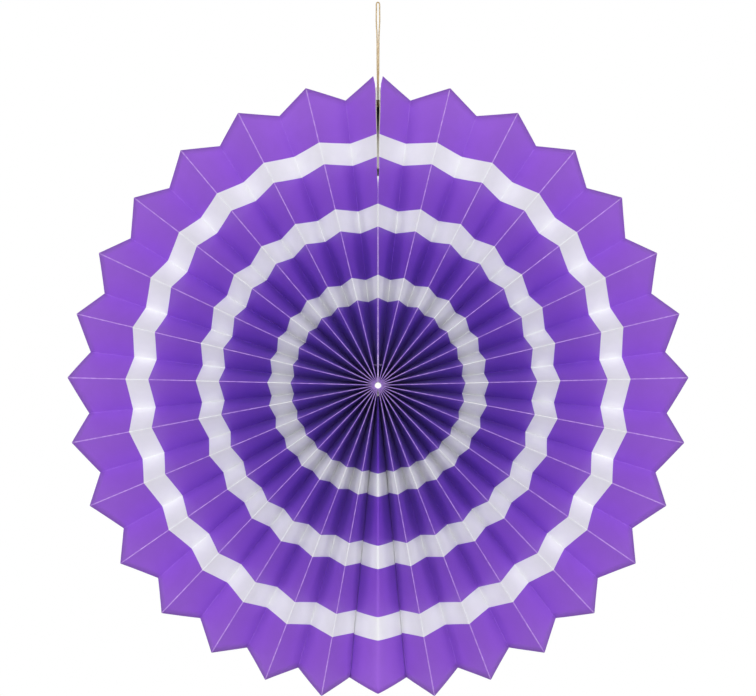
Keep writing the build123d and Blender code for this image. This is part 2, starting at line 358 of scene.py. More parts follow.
class Pleats:
    """The rules of the folded disc, written into a geometry tree."""

    def __init__(self, tree, source, sockets):
        self.tree = tree
        for name, socket in sockets.items():
            setattr(self, name, Field(tree, source.outputs[socket.name]))
        self.panel_width = hypotenuse(self.tip_radius * math.pi / self.half_folds,
                                      self.rim_depth)

    def random(self, number, seed_offset):
        """A fixed random number from -1 to 1 for each whole number."""
        node = add(self.tree, "FunctionNodeRandomValue",
                   {"Min": -1.0, "Max": 1.0, "ID": number, "Seed": self.seed + seed_offset},
                   data_type="FLOAT")
        return Field(self.tree, shown(node, "Value"))

    def bearing(self, fold):
        """Angle of a fold from the top."""
        turn = fold * math.pi / self.half_folds
        valley = remainder(fold, 2.0)
        even = turn + self.spread * sine(turn) + self.spread_third * sine(turn * 3)
        leaning = valley * (self.lean + self.lean_swing * cosine(turn * 2))
        room = least(most((fold - 1) / 3, 0.0), 1.0)
        room = room * least(most((self.half_folds - 1 - fold) / 3, 0.0), 1.0)
        return even + leaning + self.wander * room * self.random(fold, 0)

    def seam_face(self, radius):
        """Distance of an end panel's glued face from the middle of the seam."""
        face = (self.tape + self.glue) / 2
        face += (self.board + self.glue) * ramp(
            radius, self.board_start - self.board_step, self.board_start - 0.001)
        face += self.flare * ramp(radius, self.flare_start, self.flare_end)
        return face + self.tip_flare * ramp(radius, self.board_end, self.tip_radius)

    def arc(self, radius, bearing):
        """How far round from the top a fold is: the end panels take a little."""
        taken = (self.tape + self.glue + self.paper) / 2
        return taken + (radius - taken / math.pi) * bearing

    def depth(self, opening):
        """Front to back between two folds that stand that far apart round the circle."""
        return root(self.panel_width * self.panel_width - opening * opening)

    def skin(self, arc_0, depth_0, arc_1, depth_1, side, offset):
        """A panel's cross-section as (arc at depth 0, arc gained per depth)."""
        slope = (arc_1 - arc_0) / (depth_1 - depth_0)
        return arc_0 - slope * depth_0 + side * offset * hypotenuse(slope, 1.0), slope


def crossing_depth(first, second):
    return (second[0] - first[0]) / (first[1] - second[1])


def start_tree(name, material, sizes, counts):
    """Start a sheet's tree, with inputs for its material, its sizes and its counts."""
    tree = bpy.data.node_groups.new(name, "GeometryNodeTree")
    tree.interface.new_socket(name="Geometry", in_out="OUTPUT",
                              socket_type="NodeSocketGeometry")
    made = tree.interface.new_socket(name="Material", in_out="INPUT",
                                     socket_type="NodeSocketMaterial")
    made.default_value = material
    lengths = group_inputs(tree, sizes, RosetteSheetSizes.__annotations__)
    whole = group_inputs(tree, counts, RosetteSheetCounts.__annotations__,
                         "NodeSocketInt")
    return tree, made, lengths, whole


def sheet_grid(tree, pleats, columns):
    """A flat grid, and the row and the column that each of its points is in."""
    grid = add(tree, "GeometryNodeMeshGrid",
               {"Vertices X": columns, "Vertices Y": pleats.rows})
    index = Field(tree, add(tree, "GeometryNodeInputIndex").outputs[0])
    return grid, remainder(index, pleats.rows), floor((index + 0.5) / pleats.rows)


def finish_tree(tree, grid, position, facts, material_socket, source):
    """Move the grid's points into place, write their facts on them and set the material."""
    moved = add(tree, "GeometryNodeSetPosition",
                {"Geometry": grid.outputs["Mesh"], "Position": position})
    geometry = moved.outputs["Geometry"]
    for name, value in facts.items():
        stored = add(tree, "GeometryNodeStoreNamedAttribute",
                     {"Geometry": geometry, "Name": name, "Value": value},
                     data_type="FLOAT", domain="POINT")
        geometry = stored.outputs["Geometry"]
    real = add(tree, "GeometryNodeRealizeInstances", {0: geometry})
    painted = add(tree, "GeometryNodeSetMaterial",
                  {"Geometry": real.outputs[0],
                   "Material": source.outputs[material_socket.name]})
    result = add(tree, "NodeGroupOutput")
    tree.links.new(painted.outputs["Geometry"], result.inputs["Geometry"])


def half_sheet_tree(sizes, counts, material):
    """The pleated half sheet: a grid whose columns become panels and folds."""
    tree, material_socket, lengths, whole = start_tree(
        "Pleated Half Sheet", material, sizes, counts)
    side_socket = tree.interface.new_socket(name="Side", in_out="INPUT",
                                            socket_type="NodeSocketFloat")
    source = add(tree, "NodeGroupInput")
    pleats = Pleats(tree, source, {**lengths, **whole})
    side = Field(tree, source.outputs["Side"])

    columns = pleats.panel_columns * (pleats.half_folds + 1) + 1
    grid, row, column = sheet_grid(tree, pleats, columns)

    # Which panel a point is on, and how far across it. Columns crowd towards the folds.
    raw = column / pleats.panel_columns
    panel = least(floor(raw + 0.0001), pleats.half_folds) - 1
    even = raw - panel - 1
    near = 1 - magnitude(even * 2 - 1)
    crowded = (near * 0.04 + near * near * near * 0.96) / 2
    across = mix(crowded, 1 - crowded, is_over(even, 0.5))
    is_seam = is_over(0.0 - panel, 0.5)
    is_flap = is_over(panel, pleats.half_folds - 1.5)
    across = across * mix(1.0, pleats.flap_share, is_flap)

    outward = (row / (pleats.rows - 1)) ** 1.6
    start_valley = remainder(panel, 2.0)
    start_rim = pleats.tip_radius - pleats.point_length * start_valley
    end_rim = pleats.tip_radius - pleats.point_length * (1 - start_valley)
    end_rim = mix(end_rim, pleats.tip_radius - pleats.petal_short, is_flap)
    start_radius = mix(pleats.hub_radius, start_rim, outward)
    end_radius = mix(pleats.hub_radius, end_rim, outward)

    before = pleats.bearing(panel - 1)
    start_bearing = pleats.bearing(panel)
    end_bearing = pleats.bearing(panel + 1)
    after = pleats.bearing(panel + 2)

    # The panel's two folds, as arc and depth
    half_paper = pleats.paper / 2
    start_opening = start_radius * (end_bearing - before) / 2
    start_depth = pleats.depth(start_opening) / 2 - half_paper
    start_depth = start_depth * (start_valley * 2 - 1)
    start_arc = pleats.arc(start_radius, start_bearing)
    end_opening = end_radius * (after - start_bearing) / 2
    last_opening = end_radius * (end_bearing - start_bearing)
    end_depth = pleats.depth(end_opening) / 2 - half_paper
    end_depth = end_depth * (1 - start_valley * 2)
    last_depth = pleats.petal_setback - pleats.depth(last_opening) / 2
    end_depth = mix(end_depth, last_depth, is_flap)
    end_arc = pleats.arc(end_radius, end_bearing)

    # The end panel runs straight back into the seam from fold 0.
    seam_back = pleats.panel_width / 2 - half_paper
    by_seam = is_over(0.5 - panel, 0.0)
    start_arc = mix(start_arc, pleats.seam_face(start_radius) + half_paper, by_seam)
    start_depth = mix(start_depth, seam_back * (is_seam * 2 - 1), by_seam)
    end_arc = mix(end_arc, pleats.seam_face(end_radius) + half_paper, is_seam)
    end_depth = mix(end_depth, -seam_back, is_seam)

    # Paper turns a small bend at a fold instead of a sharp corner.
    free = 1 - is_seam
    steep = 1 - least(most((end_arc - start_arc) / pleats.panel_width, 0.0), 1.0)
    from_start = across * pleats.panel_width
    from_end = (1 - across) * pleats.panel_width
    bend = pleats.nose * 0.7

    def sideways(distance):
        out = pleats.nose * distance / hypotenuse(distance, pleats.nose)
        return out * exponential(distance / -0.004) * steep

    def inward(distance, amount):
        return hypotenuse(distance, amount) - amount

    start_in = inward(from_start, bend * free)
    end_in = inward(from_end, bend * (1 - is_flap))
    down = start_in / (start_in + end_in)
    swell = pleats.curl * pleats.random(panel, 11) * sine(across * math.pi)
    swell = swell * outward * outward * free * (1 - is_flap)
    aside = sideways(from_start) * free - sideways(from_end) * free * (1 - is_flap) + swell

    start_turn = start_arc / start_radius
    end_turn = end_arc / end_radius
    facing = mix(start_turn, end_turn, across)
    x = mix(start_radius * sine(start_turn), end_radius * sine(end_turn), across)
    z = mix(start_radius * cosine(start_turn), end_radius * cosine(end_turn), across)
    x = x + aside * cosine(facing)
    z = z - aside * sine(facing)
    y = mix(start_depth, end_depth, down)
    position = add(tree, "ShaderNodeCombineXYZ", {"X": x * side, "Y": y, "Z": z})

    along = mix(start_radius, end_radius, across)
    ridge = mix(from_start, from_end, start_valley)
    valley = mix(from_end, from_start, start_valley)
    facts = {
        "across": (panel + across) * pleats.panel_width,
        "along": along,
        "ridge": ridge + by_seam * NO_CREASE * ramp(along, UNWORN_FROM, UNWORN_TO),
        "valley": valley + is_seam * NO_CREASE,
        "tone": pleats.random(panel, 23),
    }
    finish_tree(tree, grid, position.outputs[0], facts, material_socket, source)
    return tree, lengths, whole, side_socket


def petal_tree(sizes, counts, material):
    """The joining petal: a strip arched over the two flaps at the bottom."""
    tree, material_socket, lengths, whole = start_tree(
        "Joining Petal", material, sizes, counts)
    source = add(tree, "NodeGroupInput")
    pleats = Pleats(tree, source, {**lengths, **whole})

    grid, row, column = sheet_grid(tree, pleats, pleats.panel_columns * 2 + 1)
    sideways = column / pleats.panel_columns - 1
    away = magnitude(sideways)
    outward = (row / (pleats.rows - 1)) ** 1.2
    edge_radius = mix(pleats.petal_start, pleats.tip_radius - pleats.point_length, outward)
    ridge_radius = mix(pleats.petal_start, pleats.tip_radius - pleats.petal_short, outward)

    last = pleats.half_folds - 1

    def folds(radius):
        """Arc and depth of the last three folds."""
        bearings = [pleats.bearing(last + step) for step in (-2, -1, 0, 1)]
        arcs = [pleats.arc(radius, bearing) for bearing in bearings[1:]]
        mountain = pleats.depth(radius * (bearings[2] - bearings[0]) / 2) / -2
        valley = pleats.depth(radius * (bearings[3] - bearings[1]) / 2) / 2
        opening = radius * (bearings[3] - bearings[2])
        ridge = pleats.petal_setback - pleats.depth(opening) / 2
        return arcs, (mountain, valley, ridge)

    half = pleats.paper / 2
    middle = half + pleats.glue + half

    arcs, depths = folds(edge_radius)
    facing = pleats.skin(arcs[0], depths[0], arcs[1], depths[1], 1.0,
                         half + pleats.petal_edge)
    front = pleats.skin(arcs[1], depths[1], arcs[2], depths[2], -1.0, middle + half)
    centre = pleats.skin(arcs[1], depths[1], arcs[2], depths[2], -1.0, middle)
    edge_depth = crossing_depth(facing, front)
    edge_turn = (centre[0] + centre[1] * edge_depth) / edge_radius

    arcs, depths = folds(ridge_radius)
    centre = pleats.skin(arcs[1], depths[1], arcs[2], depths[2], -1.0, middle)
    # Near the hub the two sides are almost parallel and would meet far out in front.
    ridge_depth = most(crossing_depth((ridge_radius * math.pi, 0.0), centre),
                       depths[2] - RIDGE_REACH)

    x = edge_radius * sine(edge_turn) * sideways
    z = mix(-ridge_radius, edge_radius * cosine(edge_turn), away)
    y = mix(ridge_depth, edge_depth, away ** 1.3)
    position = add(tree, "ShaderNodeCombineXYZ", {"X": x, "Y": y, "Z": z})
    facts = {
        "across": sideways * pleats.panel_width - 0.05,
        "along": mix(ridge_radius, edge_radius, away) - 0.0007,
        "ridge": NO_CREASE,
        "valley": NO_CREASE,
        "tone": 0.2,
    }
    finish_tree(tree, grid, position.outputs[0], facts, material_socket, source)
    return tree, lengths, whole


def grown(name, tree, settings, thickness, edge_material):
    """Grow a sheet from its tree, give the paper its thickness and make it a plain mesh."""
    holder = bpy.data.objects.new(name + "_seed", bpy.data.meshes.new(name + "_seed"))
    bpy.context.scene.collection.objects.link(holder)
    modifier = holder.modifiers.new("Pleats", "NODES")
    modifier.node_group = tree
    for sockets, values in settings:
        place_on_modifier(modifier, sockets, values)
    mesh = plain_mesh(holder, name + "_sheet")
    bpy.data.objects.remove(holder)

    sheet = new_piece(name, mesh)
    mesh.materials.append(edge_material)
    solidify = sheet.modifiers.new("Paper", "SOLIDIFY")
    solidify.thickness = thickness
    solidify.offset = 0.0
    solidify.use_even_offset = True
    solidify.thickness_clamp = 0.0
    solidify.material_offset_rim = 1
    solid = plain_mesh(sheet, name)
    sheet.modifiers.clear()
    sheet.data = solid
    point_outward(solid)
    return sheet


def plain_mesh(holder, name):
    depsgraph = bpy.context.evaluated_depsgraph_get()
    mesh = bpy.data.meshes.new_from_object(
        holder.evaluated_get(depsgraph), preserve_all_data_layers=True, depsgraph=depsgraph)
    if not mesh.polygons:
        raise RuntimeError(f"{name} came out empty")
    mesh.name = name
    return mesh


def point_outward(mesh):
    work = bmesh.new()
    work.from_mesh(mesh)
    bmesh.ops.recalc_face_normals(work, faces=work.faces)
    for face in work.faces:
        face.smooth = True
    work.to_mesh(mesh)
    work.free()


def new_piece(name, mesh):
    piece = bpy.data.objects.new(name, mesh)
    bpy.context.scene.collection.objects.link(piece)
    return piece


def settle(piece, slot, *nodes):
    """Give a piece its body and hide the nodes that it stands for; its slot is not used."""
    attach(piece, "root")
    if nodes:
        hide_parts(*nodes)


# ---------------------------------------------------------------- shader groups

def shader_group(name, inputs, outputs):
    """Start a shared effect; inputs and outputs are (name, socket kind, default)."""
    tree = bpy.data.node_groups.new(name, "ShaderNodeTree")
    for label, kind, default in inputs:
        made = tree.interface.new_socket(name=label, in_out="INPUT", socket_type=kind)
        made.default_value = default
    for label, kind in outputs:
        tree.interface.new_socket(name=label, in_out="OUTPUT", socket_type=kind)
    source = add(tree, "NodeGroupInput")
    result = add(tree, "NodeGroupOutput")
    return tree, source, result


def noise(tree, vector, scale, detail=2.0, roughness=0.5):
    node = add(tree, "ShaderNodeTexNoise",
               {"Vector": vector, "Scale": scale, "Detail": detail, "Roughness": roughness})
    return Field(tree, shown(node, "Fac"))


def vector_of(tree, x, y, z):
    return add(tree, "ShaderNodeCombineXYZ", {"X": x, "Y": y, "Z": z}).outputs[0]


def paper_grain_group():
    """Tooth, fibres and cloudiness of a sheet of paper, in its own flat coordinates."""
    tree, source, result = shader_group(
        "Paper Grain",
        [("Across", "NodeSocketFloat", 0.0), ("Along", "NodeSocketFloat", 0.0),
         ("Depth", "NodeSocketFloat", 0.0), ("Tooth Size", "NodeSocketFloat", 0.00035),
         ("Fibre Length", "NodeSocketFloat", 0.0016)],
        [("Height", "NodeSocketFloat"), ("Fibres", "NodeSocketFloat"),
         ("Cloud", "NodeSocketFloat")])
    across, along, depth, tooth, fibre = [
        Field(tree, source.outputs[name])
        for name in ("Across", "Along", "Depth", "Tooth Size", "Fibre Length")]
    fine = vector_of(tree, across / tooth, along / tooth, depth / tooth)
    long_way = vector_of(tree, across / fibre, along / fibre * 6, depth / fibre)
    cross_way = vector_of(tree, across / fibre * 6, along / fibre, depth / fibre + 9)
    broad = vector_of(tree, across / 0.011, along / 0.011, depth / 0.011)
    tooth_height = noise(tree, fine, 1.0, 3.0, 0.6)
    fibres = noise(tree, long_way, 1.0, 2.0) + noise(tree, cross_way, 1.0, 2.0)
    fibres = ramp(fibres, 1.02, 1.3)
    feed(tree, tooth_height * 0.7 + fibres * 0.5, result.inputs["Height"])
    feed(tree, fibres, result.inputs["Fibres"])
    feed(tree, noise(tree, broad, 1.0, 4.0, 0.6), result.inputs["Cloud"])
    return tree


def crease_wear_group():
    """A mask for ink cracked along a fold or an edge: broken and of uneven width."""
    tree, source, result = shader_group(
        "Crease Wear",
        [("Distance", "NodeSocketFloat", 0.0), ("Across", "NodeSocketFloat", 0.0),
         ("Along", "NodeSocketFloat", 0.0), ("Width", "NodeSocketFloat", 0.0003),
         ("Patchiness", "NodeSocketFloat", 0.5)],
        [("Mask", "NodeSocketFloat")])
    distance, across, along, width, patchiness = [
        Field(tree, source.outputs[name])
        for name in ("Distance", "Across", "Along", "Width", "Patchiness")]
    lengthways = noise(tree, vector_of(tree, across / 0.02, along / 0.004, 3.0), 1.0, 3.0)
    ragged = noise(tree, vector_of(tree, across / 0.0004, along / 0.0009, 5.0), 1.0, 2.0)
    reach = width * (0.35 + ragged + lengthways * 0.5)
    line = 1 - ramp(distance, reach * 0.45, reach)
    patches = 1 - patchiness * (1 - ramp(lengthways, 0.38, 0.62))
    feed(tree, line * patches, result.inputs["Mask"])
    return tree


def ring_print_group():
    """Where the printed sheet is left pale: three rings with slightly feathered edges."""
    tree, source, result = shader_group(
        "Ring Print",
        [("Along", "NodeSocketFloat", 0.0), ("Across", "NodeSocketFloat", 0.0),
         ("Ring 1", "NodeSocketFloat", 0.056), ("Ring 2", "NodeSocketFloat", 0.102),
         ("Ring 3", "NodeSocketFloat", 0.147), ("Ring Width", "NodeSocketFloat", 0.0148)],
        [("Mask", "NodeSocketFloat")])
    along, across, width = [
        Field(tree, source.outputs[name]) for name in ("Along", "Across", "Ring Width")]
    feather = noise(tree, vector_of(tree, across / 0.0003, along / 0.0003, 1.0), 1.0, 2.0)
    along = along + (feather - 0.5) * 0.00012
    mask = None
    for number in (1, 2, 3):
        start = Field(tree, source.outputs[f"Ring {number}"])
        ring = ramp(along, start - 0.00006, start + 0.00006)
        ring = ring * (1 - ramp(along, start + width - 0.00006, start + width + 0.00006))
        mask = ring if mask is None else most(mask, ring)
    feed(tree, mask, result.inputs["Mask"])
    return tree


def strand_fibre_group():
    """Fine fibres that run along twisted strands, from the strands' own coordinates."""
    tree, source, result = shader_group(
        "Strand Fibres",
        [("Run", "NodeSocketFloat", 0.0), ("Round", "NodeSocketFloat", 0.0),
         ("Strand", "NodeSocketFloat", 0.0), ("Slant", "NodeSocketFloat", 900.0)],
        [("Height", "NodeSocketFloat"), ("Tone", "NodeSocketFloat")])
    run, around, strand, slant = [
        Field(tree, source.outputs[name]) for name in ("Run", "Round", "Strand", "Slant")]
    turned = around + run * slant
    x, y = cosine(turned), sine(turned)
    fibres = noise(tree, vector_of(tree, x * 6, y * 6, run * 350 + strand * 7), 1.0, 3.0)
    slow = noise(tree, vector_of(tree, x, y, run * 260 + strand * 13), 1.0, 2.0)
    feed(tree, fibres, result.inputs["Height"])
    feed(tree, slow * 0.6 + fibres * 0.4, result.inputs["Tone"])
    return tree


# ---------------------------------------------------------------- materials

def start_material(name, **principled):
    """A material with its Principled shader, whose plain values are set on its sockets."""
    material = bpy.data.materials.new(name)
    material.use_nodes = True
    tree = material.node_tree
    shader = tree.nodes["Principled BSDF"]
    for label, number in principled.items():
        shader.inputs[label.replace("_", " ")].default_value = number
    return material, tree, shader


def attribute(tree, name):
    node = add(tree, "ShaderNodeAttribute", attribute_name=name)
    return Field(tree, node.outputs["Fac"])


def effect(tree, group, **inputs):
    node = tree.nodes.new("ShaderNodeGroup")
    node.node_tree = bpy.data.node_groups[group]
    for label, number in inputs.items():
        feed(tree, number, node.inputs[label.replace("_", " ")])
    return node


def blend_colour(tree, amount, first, second):
    node = add(tree, "ShaderNodeMix", data_type="RGBA")
    sockets = [s for s in node.inputs if s.enabled]
    for socket, number in zip(sockets, (amount, first, second)):
        if isinstance(number, tuple) and len(number) == 3:
            number = (*number, 1.0)
        feed(tree, number, socket)
    return shown(node, "Result")


def bump(tree, shader, height, distance):
    node = add(tree, "ShaderNodeBump",
               {"Height": height, "Distance": distance, "Strength": 1.0})
    tree.links.new(node.outputs["Normal"], shader.inputs["Normal"])


def scaled(rgb, factor):
    return tuple(min(1.0, part * factor) for part in rgb)


def printed_paper_material(printing):
    """Violet ink on white paper, with its rings, its grain and its cracked folds."""
    material, tree, shader = start_material(
        "violet_printed_paper", Specular_IOR_Level=0.35, Sheen_Weight=0.06,
        Sheen_Roughness=0.6)
    across, along = attribute(tree, "across"), attribute(tree, "along")
    ridge, valley = attribute(tree, "ridge"), attribute(tree, "valley")
    tone = attribute(tree, "tone")
    grain = effect(tree, "Paper Grain", Across=across, Along=along)
    cloud = Field(tree, grain.outputs["Cloud"])
    fibres = Field(tree, grain.outputs["Fibres"])
    height = Field(tree, grain.outputs["Height"])
    rings = effect(tree, "Ring Print", Along=along, Across=across,
                   Ring_1=printing.ring_1, Ring_2=printing.ring_2,
                   Ring_3=printing.ring_3, Ring_Width=printing.ring_width)
    pale = Field(tree, rings.outputs["Mask"])
    cracked = effect(tree, "Crease Wear", Distance=ridge, Across=across, Along=along,
                     Width=0.00042, Patchiness=0.45)
    pressed = effect(tree, "Crease Wear", Distance=valley, Across=across, Along=along,
                     Width=0.00030, Patchiness=0.8)
    worn = Field(tree, cracked.outputs["Mask"]) * 0.75
    worn = most(worn, Field(tree, pressed.outputs["Mask"]) * 0.12)

    # The violet darkens from the rim violet to the hub violet towards the hub.
    towards_rim = ramp(along + (cloud - 0.5) * 0.01, HUB_VIOLET_TO, RIM_VIOLET_FROM)
    ink = blend_colour(tree, towards_rim, tuple(printing.deep_violet),
                       tuple(printing.violet))
    ink = blend_colour(tree, ramp(cloud + tone * 0.12, 0.2, 0.8) * 0.12, ink,
                       scaled(printing.violet, 0.5))
    ink = blend_colour(tree, fibres * 0.08, ink, scaled(printing.violet, 1.5))
    bare = blend_colour(tree, ramp(cloud, 0.2, 0.8), scaled(printing.white, 0.975),
                        scaled(printing.white, 1.02))
    bare = blend_colour(tree, fibres * 0.12, bare, scaled(printing.white, 0.93))
    ink = blend_colour(tree, worn, ink, tuple(printing.worn))
    tree.links.new(blend_colour(tree, pale, ink, bare), shader.inputs["Base Color"])
    rough = 0.50 + (height - 0.5) * 0.12 + worn * 0.25 + pale * 0.06
    feed(tree, rough, shader.inputs["Roughness"])
    bump(tree, shader, height + worn * 0.8, 0.000035)
    return material


def cut_edge_material(printing):
    """The raw cut edge of the printed paper, white inside and stained by the ink."""
    material, tree, shader = start_material("cut_paper_edge", Specular_IOR_Level=0.2)
    across, along = attribute(tree, "across"), attribute(tree, "along")
    grain = effect(tree, "Paper Grain", Across=across, Along=along, Tooth_Size=0.0001,
                   Fibre_Length=0.0006)
    stained = Field(tree, grain.outputs["Cloud"])
    base = blend_colour(tree, ramp(stained, 0.35, 0.7) * 0.6 + 0.3,
                        tuple(printing.white), tuple(printing.violet))
    tree.links.new(base, shader.inputs["Base Color"])
    feed(tree, 0.8 + Field(tree, grain.outputs["Height"]) * 0.1,
         shader.inputs["Roughness"])
    bump(tree, shader, grain.outputs["Height"], 0.00004)
    return material


def object_coordinates(tree):
    node = add(tree, "ShaderNodeTexCoord")
    parts = add(tree, "ShaderNodeSeparateXYZ", {0: node.outputs["Object"]})
    return [Field(tree, output) for output in parts.outputs]


def board_material(printing):
    """Grey recycled board: flecked faces, and layers that show along its cut edges."""
    material, tree, shader = start_material("grey_board", Specular_IOR_Level=0.25)
    x, y, z = object_coordinates(tree)
    grain = effect(tree, "Paper Grain", Across=y, Along=z, Depth=x, Tooth_Size=0.0004,
                   Fibre_Length=0.0022)
    flecks = noise(tree, vector_of(tree, x / 0.0006, y / 0.0006, z / 0.0006), 1.0, 2.0)
    flecks = ramp(flecks, 0.62, 0.75)
    plies = noise(tree, vector_of(tree, magnitude(x) / 0.00009, y / 0.004, z / 0.004),
                  1.0, 3.0)
    fibres = Field(tree, grain.outputs["Fibres"])
    base = blend_colour(tree, ramp(plies, 0.35, 0.65), scaled(printing.card, 0.86),
                        scaled(printing.card, 1.12))
    base = blend_colour(tree, fibres * 0.35, base, scaled(printing.card, 1.35))
    base = blend_colour(tree, flecks * 0.5, base, scaled(printing.card, 0.5))
    tree.links.new(base, shader.inputs["Base Color"])
    feed(tree, 0.82 + fibres * 0.1, shader.inputs["Roughness"])
    bump(tree, shader, Field(tree, grain.outputs["Height"]) + plies * 0.6, 0.00006)
    return material


def tape_material(printing):
    """Double-sided tape: a thin tissue full of adhesive with small trapped bubbles."""
    material, tree, shader = start_material("double_sided_tape", Specular_IOR_Level=0.5)
    x, y, z = object_coordinates(tree)
    grain = effect(tree, "Paper Grain", Across=y, Along=z, Depth=x, Tooth_Size=0.0006,
                   Fibre_Length=0.004)
    bubbles = add(tree, "ShaderNodeTexVoronoi",
                  {"Vector": vector_of(tree, x / 0.002, y / 0.002, z / 0.002),
                   "Scale": 1.0})
    ring = 1 - ramp(Field(tree, bubbles.outputs["Distance"]), 0.12, 0.22)
    cloud = Field(tree, grain.outputs["Cloud"])
    base = blend_colour(tree, ramp(cloud, 0.3, 0.7), scaled(printing.tape, 0.9),
                        scaled(printing.tape, 1.1))
    base = blend_colour(tree, ring * 0.5, base, scaled(printing.tape, 1.35))
    tree.links.new(base, shader.inputs["Base Color"])
    feed(tree, 0.34 + cloud * 0.2 + ring * 0.1, shader.inputs["Roughness"])
    bump(tree, shader, Field(tree, grain.outputs["Height"]) * 0.5 + ring, 0.00004)
    return material


def painted_shade_pad_material(printing):
    """The pad's fine cells, its colour painted near black as the shade in the gap between
    the boards.
    """
    material, tree, shader = start_material("pad_painted_shade", Specular_IOR_Level=0.15)
    x, y, z = object_coordinates(tree)
    cells = add(tree, "ShaderNodeTexVoronoi",
                {"Vector": vector_of(tree, x / 0.0004, y / 0.0004, z / 0.0004),
                 "Scale": 1.0})
    wall = ramp(Field(tree, cells.outputs["Distance"]), 0.15, 0.65)
    patchy = noise(tree, vector_of(tree, x, y, z), 260.0, 3.0)
    base = blend_colour(tree, wall * 0.6 + patchy * 0.4, scaled(printing.foam, 0.5),
                        scaled(printing.foam, 1.6))
    tree.links.new(base, shader.inputs["Base Color"])
    feed(tree, 0.85 + patchy * 0.1, shader.inputs["Roughness"])
    bump(tree, shader, wall, 0.00012)
    return material


def strand_material(name, dark, light, slant, gloss):
    """Twisted yarn, from the run, round and strand facts on its mesh."""
    material, tree, shader = start_material(
        name, Specular_IOR_Level=0.4, Sheen_Weight=0.25, Sheen_Roughness=0.4)
    run, around = attribute(tree, "run"), attribute(tree, "round")
    strand = attribute(tree, "strand")
    fibres = effect(tree, "Strand Fibres", Run=run, Round=around, Strand=strand,
                    Slant=slant)
    tone = Field(tree, fibres.outputs["Tone"])
    hairs = Field(tree, fibres.outputs["Height"])
    tree.links.new(blend_colour(tree, ramp(tone, 0.34, 0.64), tuple(dark), tuple(light)),
                   shader.inputs["Base Color"])
    feed(tree, gloss + hairs * 0.2, shader.inputs["Roughness"])
    bump(tree, shader, hairs, 0.00005)
    return material


def cad_thread_material(printing):
    """Sewing thread for the ring at the hub, twisted along its way round."""
    material, tree, shader = start_material("hub_thread_yarn", Specular_IOR_Level=0.4,
                                            Sheen_Weight=0.25)
    x, y, z = object_coordinates(tree)
    turn = maths(tree, "ARCTAN2", x, z)
    out = hypotenuse(x, z)
    fibres = effect(tree, "Strand Fibres", Run=turn * 0.005,
                    Round=maths(tree, "ARCTAN2", y - 0.002, out - 0.005),
                    Slant=3900.0)
    tone = Field(tree, fibres.outputs["Tone"])
    base = blend_colour(tree, ramp(tone, 0.34, 0.64), scaled(printing.thread, 0.6),
                        scaled(printing.thread, 1.2))
    tree.links.new(base, shader.inputs["Base Color"])
    feed(tree, 0.5 + tone * 0.2, shader.inputs["Roughness"])
    bump(tree, shader, fibres.outputs["Height"], 0.00006)
    return material


def paper_materials(printing):
    """The printed paper and its cut edge, built the first time that they are asked for."""
    made = bpy.data.materials
    return (made.get("violet_printed_paper") or printed_paper_material(printing),
            made.get("cut_paper_edge") or cut_edge_material(printing))


# ---------------------------------------------------------------- twisted cords

def spline_points(points, name):
    """Points read from the NURBS spline through control points, close together."""
    curve = bpy.data.curves.new(name, "CURVE")
    curve.dimensions = "3D"
    curve.resolution_u = 24
    spline = curve.splines.new("NURBS")
    spline.points.add(len(points) - 1)
    for point, place in zip(spline.points, points):
        point.co = (*place, 1.0)
    spline.order_u = 3
    spline.use_endpoint_u = True
    holder = bpy.data.objects.new(name, curve)
    bpy.context.scene.collection.objects.link(holder)
    depsgraph = bpy.context.evaluated_depsgraph_get()
    mesh = bpy.data.meshes.new_from_object(
        holder.evaluated_get(depsgraph), depsgraph=depsgraph)
    path = [vertex.co.copy() for vertex in mesh.vertices]
    bpy.data.objects.remove(holder)
    bpy.data.meshes.remove(mesh)
    return path


def evenly(path, step):
    """The same line with points that stand a step apart."""
    runs = [(there - here).length for here, there in zip(path, path[1:])]
    total = sum(runs)
    count = max(2, round(total / step))
    result, passed, place = [path[0]], 0.0, 0
    for number in range(1, count):
        wanted = total * number / count
        while passed + runs[place] < wanted:
            passed += runs[place]
            place += 1
        part = (wanted - passed) / runs[place]
        result.append(path[place].lerp(path[place + 1], part))
    return result + [path[-1]], total


def travelling_frames(path, closed=False):
    """A direction and two sideways directions at each point, carried without twist."""
    frames = []
    side = None
    for number, point in enumerate(path):
        before = path[number - 1] if number or closed else point
        has_next = number + 1 < len(path) or closed
        after = path[(number + 1) % len(path)] if has_next else point
        ahead = (after - before).normalized()
        if side is None:
            side = ahead.orthogonal().normalized()
        side = (side - ahead * side.dot(ahead)).normalized()
        frames.append((point, side, ahead.cross(side)))
    return frames


